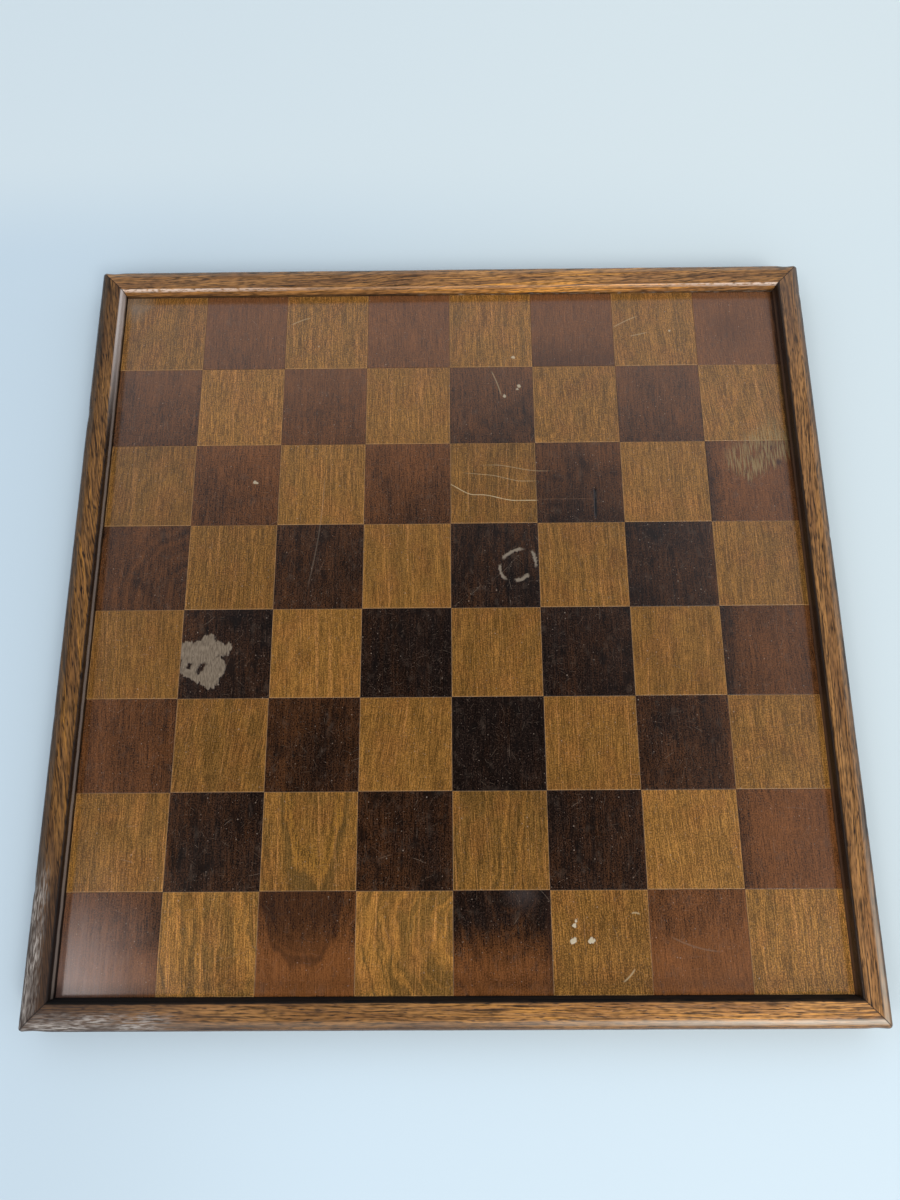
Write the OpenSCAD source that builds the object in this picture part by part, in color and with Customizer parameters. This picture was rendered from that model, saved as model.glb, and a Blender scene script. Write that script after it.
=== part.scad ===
// Chess board in one rigid piece, with no fold. Sixty-four squares of two woods are glued to
// a ground of four boards. Four mitred oak rails hold the ground in a groove and stand above
// the squares as a rim.
// The origin is the middle of the footprint, on the table under the rails. X runs to the
// right, Y away from the near player, and Z up.

/* [Playing field] */
// Pitch of the squares, with one glue line
square_pitch = 50.8; // [35:0.1:60]
// Thickness of the squares
square_thickness = 3; // [2:0.1:5]
// Width of the glue line round each square
glue_line = 0.1; // [0.05:0.05:0.3]

/* [Rails] */
// Width of a rail, from its inner face to its outer face
rail_width = 15; // [11:0.5:20]
// Height of the rim above the squares
rim_rise = 8.4; // [6:0.1:12]
// Radius of a rail's outer top edge
outer_round = 5.5; // [2:0.5:7]
// Radius of a rail's inner top edge
inner_round = 1.2; // [0.4:0.1:2]
// Radius of a rail's outer bottom edge
foot_round = 1; // [0.5:0.1:2]
// Radius of the rim's four upright corners
corner_round = 2; // [1:0.5:4]
// Width of the line at each mitre
mitre_line = 0.1; // [0.05:0.05:0.3]

/* [Ground] */
// Thickness of the ground boards
ground_thickness = 11; // [9:0.5:14]
// Height of their underside above the table
ground_lift = 2; // [1:0.5:4]
// Thickness of the tongue round the ground
tongue_thickness = 4; // [3:0.5:6]
// Depth of the groove that takes it in the rails
groove_depth = 5; // [3:0.5:7]
// Thickness of the tongues between the boards
board_tongue_thickness = 3; // [2:0.5:4]
// Depth of the grooves between the boards
board_groove_depth = 4; // [3:0.5:6]
// Room between a tongue's tip and its groove
groove_room = 0.3; // [0.2:0.1:1]
// Clearance on each face of a tongue and at each shoulder
joint_clearance = 0.05; // [0.05:0.05:0.2]

/* [Pins] */
// Radius of a pin's shank
pin_radius = 0.7; // [0.5:0.1:0.9]
// Radius of a pin's head
head_radius = 1.1; // [1:0.1:1.4]
// Thickness of a pin's head
head_thickness = 0.8; // [0.5:0.1:1.5]
// Length of a pin's point
point_length = 2; // [1:0.5:3]
// Shank of the pins that enter the ground, point included
rail_pin_shank = 24; // [16:1:30]
// Shank of the pins that cross the mitres, point included
mitre_pin_shank = 16; // [12:1:20]
// Depth of the heads below the rail's outer face
punch_depth = 1.5; // [0.5:0.1:3]
// Clearance of a pin in its hole
pin_clearance = 0.05; // [0.02:0.01:0.1]

/* [Hidden] */
$fn = 64;
files = 8;
boards = 4;
// Overshoot of a cutting shape past the face that it opens
overcut = 1;

// Clear side of the square between the rails
opening = files * square_pitch + glue_line;
// Heights of the ground's top, the squares' top and the rim's top
ground_top = ground_lift + ground_thickness;
field_top = ground_top + square_thickness;
rail_height = field_top + rim_rise;

// The tongues run along the middle of the ground's thickness
tongue_level = ground_lift + ground_thickness / 2;
groove_height = tongue_thickness + 2 * joint_clearance;
tongue_length = groove_depth - groove_room;
board_groove_height = board_tongue_thickness + 2 * joint_clearance;
board_tongue_length = board_groove_depth - groove_room;

// Shoulder to shoulder, the ground fills the opening but for its clearance
ground_side = opening - 2 * joint_clearance;
board_pitch = ground_side / boards;

// The pins of neighbouring rails cross a mitre at two levels, above the groove
groove_top = tongue_level + groove_height / 2;
outer_face_top = rail_height - outer_round;
mitre_pin_levels = [for (share = [1 / 3, 2 / 3]) groove_top + share * (outer_face_top - groove_top)];

RAILS = ["near_rail", "right_rail", "far_rail", "left_rail"];
WOODS = ["dark", "light"];

function board_name(board) = str("ground_board_", board);
function squares_name(rank, wood) = str("rank_", rank, "_", wood, "_squares");
// Places along a rail of the middles of the ground boards
function board_middle(board) = (board - (boards + 1) / 2) * board_pitch;

// What a rounding takes off a corner that points to +X and +Y at the origin
module corner_waste(radius) {
    translate([-radius, -radius])
        difference() {
            square(radius + overcut);
            circle(radius);
        }
}

// Section of a rail with its inner face at x = 0, its outer face to the left and its foot at
// y = 0: a flat top, a wide round outside, a small one inside, and the groove for the ground
module rail_section() {
    difference() {
        translate([-rail_width, 0]) square([rail_width, rail_height]);
        translate([0, rail_height]) corner_waste(inner_round);
        translate([-rail_width, rail_height]) mirror([1, 0]) corner_waste(outer_round);
        translate([-rail_width, 0]) rotate(180) corner_waste(foot_round);
        translate([-groove_depth, tongue_level - groove_height / 2])
            square([groove_depth + overcut, groove_height]);
    }
}

// Plan of a rail with its inner face on y = 0: mitred ends, set back by half the mitre's
// line, and the rim's round corners
module rail_plan() {
    set_back = mitre_line / 2 * sqrt(2);
    inner_end = opening / 2 - set_back;
    outer_end = inner_end + rail_width;
    difference() {
        polygon([[-outer_end, -rail_width], [outer_end, -rail_width], [inner_end, 0], [-inner_end, 0]]);
        for (side = [0, 1])
            mirror([side, 0])
                translate([opening / 2 + rail_width, -rail_width]) mirror([0, 1]) corner_waste(corner_round);
    }
}

// Puts a child made against y = 0 on one side of the opening: 0 near, 1 right, 2 far, 3 left
module at_rail(side) {
    rotate(90 * side) translate([0, -opening / 2, 0]) children();
}

// Starts each pin that enters the ground at a rail's outer face, one to the middle of a board
module at_rail_pins() {
    for (side = [0:3], board = [1:boards])
        at_rail(side)
            translate([board_middle(board), -rail_width, tongue_level]) rotate([-90, 0, 0]) children();
}

// Starts each pin that crosses a mitre at a rail's outer face, in line with the next rail
module at_mitre_pins() {
    for (side = [0:3], end = [-1, 1])
        at_rail(side)
            translate([end * (opening + rail_width) / 2, -rail_width, mitre_pin_levels[side % 2]])
                rotate([-90, 0, 0]) children();
}

// A pin from the rail's outer face at z = 0, with its head punched in and a pointed shank
module pin(shank) {
    translate([0, 0, punch_depth]) {
        cylinder(r = head_radius, h = head_thickness);
        translate([0, 0, head_thickness]) {
            cylinder(r = pin_radius, h = shank - point_length);
            translate([0, 0, shank - point_length])
                cylinder(r1 = pin_radius, r2 = pin_radius / 4, h = point_length);
        }
    }
}

// The hole that such a pin goes through, open at the rail's outer face
module pin_hole(shank) {
    head_depth = punch_depth + head_thickness;
    translate([0, 0, -overcut]) cylinder(r = head_radius + pin_clearance, h = overcut + head_depth);
    cylinder(r = pin_radius + pin_clearance, h = head_depth + shank + pin_clearance);
}

module all_pin_holes() {
    at_rail_pins() pin_hole(rail_pin_shank);
    at_mitre_pins() pin_hole(mitre_pin_shank);
}

// One oak rail, moulded in length, mitred and bored
module rail(side) {
    color("#7d5836")
        difference() {
            at_rail(side)
                intersection() {
                    rotate([90, 0, 90])
                        linear_extrude(opening + 2 * rail_width, center = true) rail_section();
                    linear_extrude(rail_height) rail_plan();
                }
            all_pin_holes();
        }
}

// A bar of the ground from one place to another along the 2D x axis, on the tongues' level
module bar(from, to, height) {
    translate([from, tongue_level - height / 2]) square([to - from, height]);
}

// Section of a ground board across its length: the first and the last board have the ground's
// own tongue at their outer edge, and the inner edges have a tongue in a groove
module board_section(board) {
    near = board_middle(board) - board_pitch / 2 + (board > 1 ? glue_line / 2 : 0);
    far = board_middle(board) + board_pitch / 2 - (board < boards ? glue_line / 2 : 0);
    difference() {
        union() {
            bar(near, far, ground_thickness);
            if (board == 1)
                bar(near - tongue_length, near + overcut, tongue_thickness);
            if (board == boards)
                bar(far - overcut, far + tongue_length, tongue_thickness);
            else
                bar(far - overcut, far + board_tongue_length, board_tongue_thickness);
        }
        if (board > 1)
            bar(near - overcut, near + board_groove_depth, board_groove_height);
    }
}

// One softwood board of the ground, with a tongue at each end for the side rails
module ground_board(board) {
    reach = ground_side / 2 + tongue_length;
    color("#c19a68")
        difference() {
            intersection() {
                rotate([90, 0, 90]) linear_extrude(2 * reach, center = true) board_section(board);
                rotate([90, 0, 0])
                    linear_extrude(2 * reach, center = true)
                        union() {
                            bar(-ground_side / 2, ground_side / 2, ground_thickness);
                            bar(-reach, reach, tongue_thickness);
                        }
            }
            all_pin_holes();
        }
}

// The squares of one wood in one rank: the near left square of the field is dark
module rank_squares(rank, wood) {
    side = square_pitch - glue_line;
    color(wood == "dark" ? "#3b211d" : "#8c6139")
        for (file = [1:files])
            if ((rank + file) % 2 == (wood == "dark" ? 0 : 1))
                translate([
                    (file - 1 - files / 2) * square_pitch + glue_line / 2,
                    (rank - 1 - files / 2) * square_pitch + glue_line / 2,
                    ground_top
                ])
                    cube([side, side, square_thickness]);
}

// Steel pins that hold each rail to the ends or edges of the ground boards
module rail_pins() {
    color("#8a8a8c") at_rail_pins() pin(rail_pin_shank);
}

// Steel pins that draw the mitres together, one from each rail at each corner
module mitre_pins() {
    color("#8a8a8c") at_mitre_pins() pin(mitre_pin_shank);
}

// Hard wax that fills the holes over the pins' heads, level with the rails
module pin_stopping() {
    color("#4a3020") {
        at_rail_pins() cylinder(r = head_radius, h = punch_depth);
        at_mitre_pins() cylinder(r = head_radius, h = punch_depth);
    }
}

for (side = [0:3])
    rail(side);
for (board = [1:boards])
    ground_board(board);
for (rank = [1:files], wood = WOODS)
    rank_squares(rank, wood);
rail_pins();
mitre_pins();
pin_stopping();
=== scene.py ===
from functools import reduce

import bpy
import numpy as np
from mathutils import Matrix, Vector


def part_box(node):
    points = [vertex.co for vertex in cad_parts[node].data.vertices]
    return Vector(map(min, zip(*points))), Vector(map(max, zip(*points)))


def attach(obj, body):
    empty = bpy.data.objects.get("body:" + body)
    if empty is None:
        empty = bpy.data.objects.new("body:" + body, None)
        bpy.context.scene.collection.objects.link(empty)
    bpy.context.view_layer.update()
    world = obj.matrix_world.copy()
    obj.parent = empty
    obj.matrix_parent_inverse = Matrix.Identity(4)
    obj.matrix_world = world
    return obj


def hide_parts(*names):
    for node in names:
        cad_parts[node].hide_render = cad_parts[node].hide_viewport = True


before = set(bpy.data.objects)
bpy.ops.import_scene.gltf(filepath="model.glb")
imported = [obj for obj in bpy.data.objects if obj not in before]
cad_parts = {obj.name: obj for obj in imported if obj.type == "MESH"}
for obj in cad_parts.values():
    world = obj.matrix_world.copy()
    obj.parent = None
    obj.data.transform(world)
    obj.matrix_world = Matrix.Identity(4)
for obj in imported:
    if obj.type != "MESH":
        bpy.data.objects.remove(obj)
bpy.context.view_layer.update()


# The ground, under the squares: four softwood boards, planed and left bare, with a tongue
# in the rails' grooves all round. Their solids stay, and get the finish of old pine.

MM = 0.001


class Socket:
    """One socket of a material's tree. Arithmetic on it adds the Math node that does it."""

    def __init__(self, finish, socket):
        self.finish = finish
        self.socket = socket

    def __add__(self, other):
        return self.finish.math("ADD", self, other)

    def __sub__(self, other):
        return self.finish.math("SUBTRACT", self, other)

    def __rsub__(self, other):
        return self.finish.math("SUBTRACT", other, self)

    def __mul__(self, other):
        return self.finish.math("MULTIPLY", self, other)

    def __truediv__(self, other):
        return self.finish.math("DIVIDE", self, other)

    def __pow__(self, other):
        return self.finish.math("POWER", self, other)

    __radd__ = __add__
    __rmul__ = __mul__

    def between(self, low, high):
        """A smooth step from 0 at low to 1 at high, whichever of the two is the larger: the share of the
        way squared, times 3 less twice the share."""
        smooth = {"interpolation_type": "SMOOTHSTEP"}
        return self.finish.node("ShaderNodeMapRange", smooth, self, low, high, 0.0, 1.0)


class Nodes:
    """Adds nodes to one tree, with one way for any node and named steps for the common ones."""

    def __init__(self, tree):
        self.tree = tree

    def feed(self, socket, value):
        """Links another socket to an open one, or sets its value."""
        if isinstance(value, Socket):
            self.tree.links.new(value.socket, socket)
        else:
            socket.default_value = value

    def node(self, kind, settings, *values, out=0, **named):
        """Adds a node, sets its settings, then fills its open sockets in order and others by name."""
        made = self.tree.nodes.new(kind)
        for key, value in settings.items():
            setattr(made, key, value)
        for socket, value in zip([s for s in made.inputs if s.enabled], values):
            self.feed(socket, value)
        for key, value in named.items():
            self.feed(made.inputs[key], value)
        if isinstance(out, str):
            return Socket(self, made.outputs[out])
        return Socket(self, [s for s in made.outputs if s.enabled][out])

    def parts(self, vector):
        """The three numbers of a vector or a colour."""
        split = self.node("ShaderNodeSeparateXYZ", {}, vector).socket.node
        return [Socket(self, out) for out in split.outputs]

    def scaled(self, vector, factor):
        """A vector or a colour times one number."""
        return self.node("ShaderNodeVectorMath", {"operation": "SCALE"}, vector, Scale=factor)

    def noise(self, *place, detail=2.0):
        """Smooth noise from 0 to 1, with a period of about 1 in each of the two or three places given."""
        at = self.node("ShaderNodeCombineXYZ", {}, *place)
        flat = {"noise_dimensions": "2D" if len(place) == 2 else "3D"}
        return self.node("ShaderNodeTexNoise", flat, Vector=at, Scale=1.0, Detail=detail)

    def mix(self, share, first, second):
        """The first colour times 1 less the share, and the second times the share."""
        return self.node("ShaderNodeMix", {"data_type": "RGBA"}, share, first, second)

    def math(self, operation, *values):
        """The sum, product or other operation named, on numbers that change over the surface."""
        return self.node("ShaderNodeMath", {"operation": operation}, *values)

    def larger(self, first, second):
        """The larger of two numbers."""
        return self.math("MAXIMUM", first, second)

    def smaller(self, first, second):
        """The smaller of two numbers."""
        return self.math("MINIMUM", first, second)

    def size(self, value):
        """The value without its sign."""
        return self.math("ABSOLUTE", value)


class Finish(Nodes):
    """A material in the making. Its places are in millimetres in the board's own frame."""

    def __init__(self, name):
        self.material = bpy.data.materials.new(name)
        self.material.use_nodes = True
        super().__init__(self.material.node_tree)
        self.shader = self.tree.nodes["Principled BSDF"]
        position = self.node("ShaderNodeTexCoord", {}, out="Object")
        self.x, self.y, self.z = self.parts(self.scaled(position, 1 / MM))

    def attribute(self, name, out="Fac"):
        """A number or a vector that the mesh's points carry."""
        return self.node("ShaderNodeAttribute", {"attribute_name": name}, out=out)

    def done(self, colour, roughness, height, **constants):
        """Feeds the surface. The height is in millimetres, and constants are set straight on the shader."""
        bump = self.node("ShaderNodeBump", {}, Strength=1.0, Distance=MM, Height=height)
        self.feed(self.shader.inputs["Base Color"], colour)
        self.feed(self.shader.inputs["Roughness"], roughness)
        self.feed(self.shader.inputs["Normal"], bump)
        for name, value in constants.items():
            self.shader.inputs[name.replace("_", " ")].default_value = value
        return self.material


def srgb(red, green, blue):
    """A colour as a picture writes it, from 0 to 255, turned to the light that it stands for."""
    share = np.array([red, green, blue]) / 255
    light = np.where(share < 0.04045, share / 12.92, ((share + 0.055) / 1.055) ** 2.4)
    return (*light.tolist(), 1.0)


def give(finish, names):
    """Puts one finish on CAD nodes that stay."""
    for name in names:
        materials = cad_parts[name].data.materials
        materials.clear()
        materials.append(finish)


# The ground's colours
EARLY_PINE = srgb(190, 148, 100)
LATE_PINE = srgb(150, 104, 62)
PINE_FIBRE = srgb(112, 76, 46)
PLANED_PINE = srgb(126, 92, 62)


def old_pine():
    """Straight softwood along X: noise stretched along it gives broad bands of late wood across Y,
    fine fibre and faint plane marks."""
    pine = Finish("old_pine")
    drift = pine.noise(pine.x / 90, pine.y / 40) * 9
    band = pine.noise((pine.y + drift) / 3.5, pine.x / 400).between(0.42, 0.6)
    fibre = pine.noise(pine.y * 2.5, pine.x / 12, pine.z * 2.5)
    plane_mark = pine.noise(pine.x / 14, pine.y / 90)
    colour = pine.mix(band, EARLY_PINE, LATE_PINE)
    colour = pine.mix(fibre.between(0.45, 0.75) * 0.4, colour, PINE_FIBRE)
    colour = pine.mix(plane_mark.between(0.5, 0.9) * 0.5, colour, PLANED_PINE)
    height = fibre * 0.03 + plane_mark * 0.04 - band * 0.02
    return pine.done(colour, 0.62 + fibre * 0.2, height)


give(old_pine(), [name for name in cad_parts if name.startswith("ground_board")])


# The sixty-four squares: separate blocks of two woods, sawn with the grain away from the
# player, glued to the ground side by side, planed level and finished with shellac. Each
# is a shell of its own with eased edges, and has moved a little since it was laid.

GLUE_LINE = 0.1 * MM
FILES = 8
FIELD_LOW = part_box("rank_1_dark_squares")[0]
FIELD_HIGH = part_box("rank_8_dark_squares")[1]
PITCH = (FIELD_HIGH.x - FIELD_LOW.x + GLUE_LINE) / FILES
SIDE = PITCH - GLUE_LINE
# Width of the eased edges, points round each of them, and points between them
EASE = 0.18 * MM
EASE_POINTS = 4
FACE_POINTS = 12
# Where the shading of an eased edge ends, in widths of it
EASE_END = 1.4
# The most that a square slopes each way, cups and stands off the level, in millimetres
MOVES = (0.05, 0.05, 0.03, 0.03)
# The field's sides and face in millimetres, as the materials measure
FIELD_LEFT, FIELD_NEAR = FIELD_LOW.x / MM, FIELD_LOW.y / MM
FIELD_RIGHT, FIELD_FAR = FIELD_HIGH.x / MM, FIELD_HIGH.y / MM
FIELD_TOP = FIELD_HIGH.z / MM

rng = np.random.default_rng(64)


def in_scene(data):
    """An object in the scene for a mesh, a light or a camera, with the same name."""
    made = bpy.data.objects.new(data.name, data)
    bpy.context.scene.collection.objects.link(made)
    return made


def steps_across():
    """Places across a square, from edge to edge: at even angles round each eased edge, one just inside
    it, where the shading of the edge ends, and even ones between."""
    eased = EASE * np.append(1 - np.cos(np.linspace(0, np.pi / 2, EASE_POINTS)), EASE_END)
    inner = np.linspace(eased[-1], SIDE - eased[-1], FACE_POINTS + 2)[1:-1]
    return np.concatenate([eased, inner, SIDE - eased[::-1]])


def shaded_mesh(name, points, smooth_faces, flat_faces):
    """A mesh whose first faces are shaded smooth, and whose other faces are flat."""
    mesh = bpy.data.meshes.new(name)
    mesh.from_pydata(points, [], [*smooth_faces, *flat_faces])
    mesh.polygons.foreach_set("use_smooth", np.arange(len(mesh.polygons)) < len(smooth_faces))
    return mesh


def square_shell(name, file, rank, moves):
    """A closed block. Its face is a grid whose height falls by a quarter circle near the nearest
    edge, and else follows a slope each way and a cup across the grain. Walls and a base close it."""
    across = steps_across()
    count = len(across)
    u, v = np.meshgrid(across, across)
    edge = np.minimum(np.minimum(u, SIDE - u), np.minimum(v, SIDE - v))
    inside = np.clip(EASE - edge, 0, EASE)
    drop = EASE - np.sqrt(EASE**2 - inside**2)
    slope_x, slope_y, cup, lift = moves
    away_x, away_y = u / SIDE - 0.5, v / SIDE - 0.5
    face = lift + slope_x * away_x + slope_y * away_y + cup * (4 * away_x**2 - 0.5)
    x = FIELD_LOW.x + file * PITCH + u
    y = FIELD_LOW.y + rank * PITCH + v
    top = np.stack([x, y, FIELD_HIGH.z - drop + face], -1).reshape(-1, 3)
    index = np.arange(count * count).reshape(count, count)
    rim = np.concatenate([index[0, :-1], index[:-1, -1], index[-1, :0:-1], index[:0:-1, 0]])
    base = top[rim] * (1, 1, 0) + (0, 0, FIELD_LOW.z)
    under = count * count + np.arange(len(rim))
    faces = np.stack([index[:-1, :-1], index[:-1, 1:], index[1:, 1:], index[1:, :-1]], -1).reshape(-1, 4)
    walls = np.stack([rim, under, np.roll(under, -1), np.roll(rim, -1)], -1)
    closing = [*walls.tolist(), under[::-1].tolist()]
    return shaded_mesh(name, np.concatenate([top, base]), faces.tolist(), closing)


def put_attribute(mesh, name, values):
    """Stores one number or one vector for each point of a mesh."""
    kind, key = ("FLOAT", "value") if values.ndim == 1 else ("FLOAT_VECTOR", "vector")
    mesh.attributes.new(name, kind, "POINT").data.foreach_set(key, values.astype(np.float32).ravel())


def stain_wear(file, rank):
    """How far the dark stain has gone, from 0 to 1, by the place in squares: little in the middle, more
    within a square of the left and right rails, in a strip at the near rail, and towards the far one.
    It is the largest of five shares: four come in by a smooth step, and the middle's grows with the
    distance from its centre."""
    def ease(value, low, high):
        """The smooth step that the materials use."""
        share = np.clip((value - low) / (high - low), 0, 1)
        return share * share * (3 - 2 * share)
    left = 0.50 * ease(file, 1.6, 0.7)
    right = 0.80 * ease(file, 6.7, 7.3)
    near = 0.95 * ease(rank, 0.9, 0.1) * ease(file, -0.4, 0.6)
    far = 0.92 * ease(rank, 3.9, 8.0)
    middle = 0.02 + 0.06 * np.hypot(file - 4.4, rank - 2.9)
    return np.maximum.reduce([left, right, near, far, middle])


# For the squares whose figure isn't straight: where the heart of the log lies from the middle, in
# millimetres, and what a length along the grain counts as, which draws the growth rings out
FIGURED = {
    "c2": (2, 34, 0.30),
    "d1": (30, 4, 0.80),
    "c1": (-3, 32, 0.50),
    "e1": (4, 30, 0.50),
    "g1": (-8, 34, 0.60),
    "b1": (30, 12, 0.35),
    "f7": (-22, 10, 0.60),
    "a6": (10, -30, 0.40),
    "a5": (26, -18, 0.80),
    "e2": (-60, 40, 0.35),
}
# How strong their figure is, and where it is weaker or stronger
USUAL_STRENGTH = 0.9
STRENGTH = {"a6": 0.4, "f7": 0.4, "d1": 1.5, "b1": 1.3}
# How far the grain of some squares leans, sideways for each millimetre along it
LEANING = {"b3": -0.13, "d3": -0.12, "g2": 0.08, "h7": 0.12, "g8": 0.05}
# The squares whose stain has gone more or less than their place explains
WORN = {"g1": 0.44, "c1": 0.3, "e1": -0.12, "b4": -0.12, "b2": -0.1, "a5": -0.11, "a7": -0.08, "b6": 0.19,
        "d6": 0.19, "h4": -0.24, "c5": 0.05, "e7": -0.15, "g3": 0.06, "e3": -0.11, "c3": 0.07, "h8": 0.12,
        "g7": -0.08, "h6": -0.15, "d4": -0.08, "d2": 0.05, "f4": -0.02}
# The squares of the light wood that are paler or darker than the rest, and how much
PALER = {"d1": 0.41, "b1": 0.33, "h1": 0.25, "g2": 0.2, "b5": -0.19, "b3": -0.14, "e6": -0.13, "c4": 0.05,
         "a4": -0.18, "a6": -0.19, "e4": -0.08, "f3": -0.07, "f1": -0.07, "e8": 0.05, "c2": 0.04, "a8": -0.13,
         "g4": -0.05, "f7": -0.06, "b7": 0.01, "c6": 0.02, "h7": 0.04, "d3": -0.05, "f5": -0.03, "e2": -0.03,
         "d5": 0.08, "g8": 0.05, "a2": 0.03}


def wood_attributes(mesh, name, file, rank):
    """Gives a square its own part of the log, its own tone, and the wear of the stain. The grain is
    coarser towards the near and the far rail, and finer where the figure is strong."""
    points = np.empty(len(mesh.vertices) * 3)
    mesh.vertices.foreach_get("co", points)
    points = points.reshape(-1, 3)
    middle = np.array([FIELD_LOW.x + (file + 0.5) * PITCH, FIELD_LOW.y + (rank + 0.5) * PITCH]) / MM
    straight = (rng.choice([-1, 1]) * rng.uniform(120, 420), rng.uniform(-300, 300), rng.uniform(0.15, 0.35))
    away_x, away_y, drawn = FIGURED.get(name, straight)
    heart = np.array([middle[0] + away_x, middle[1] + away_y, drawn])
    put_attribute(mesh, "heart", np.tile(heart, (len(points), 1)))
    straight_figure = rng.uniform(0.2, 0.6)
    figure = STRENGTH.get(name, USUAL_STRENGTH if name in FIGURED else straight_figure)
    same_all_over = {
        "figure": figure,
        "tone": rng.uniform(-1, 1),
        "pale": PALER.get(name, 0.0),
        "coarse": 1.0 + 0.015 * (rank - 4) ** 2 + rng.uniform(-0.15, 0.15) - 0.3 * max(figure - 0.6, 0),
        "lean": LEANING.get(name, rng.uniform(-0.03, 0.05)),
    }
    for attribute, value in same_all_over.items():
        put_attribute(mesh, attribute, np.full(len(points), value))
    at_file = (points[:, 0] - FIELD_LOW.x) / PITCH
    at_rank = (points[:, 1] - FIELD_LOW.y) / PITCH
    put_attribute(mesh, "wear", stain_wear(at_file, at_rank) + WORN.get(name, 0.0))


# Chips in the finish, in millimetres: the size of a cell that holds one point, a chip's largest
# radius, and the share of the cells that have one
SPECKS = [(1.3, 0.2, 0.12), (5.0, 0.34, 0.35), (13.0, 0.4, 0.5)]
# Fine lines and scratches: the size of a cell, length, width, share of the cells, and strength
FINE_LINES = [(3.1, 4.0, 0.17, 0.22, 0.16), (5.7, 8.0, 0.15, 0.25, 0.16)]
SCRATCHES = [(17.0, 8.0, 0.12, 0.3, 0.4), (37.0, 20.0, 0.11, 0.35, 0.3)]
# A full turn in radians, near enough for the angle of a scratch
FULL_TURN = 6.28
# What fills chips and scratches, and the dirt and painted shade along the rails
SCRATCH_DUST = srgb(160, 138, 116)
DIRT_AND_SHADE_BLACK = srgb(9, 6, 5)


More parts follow.
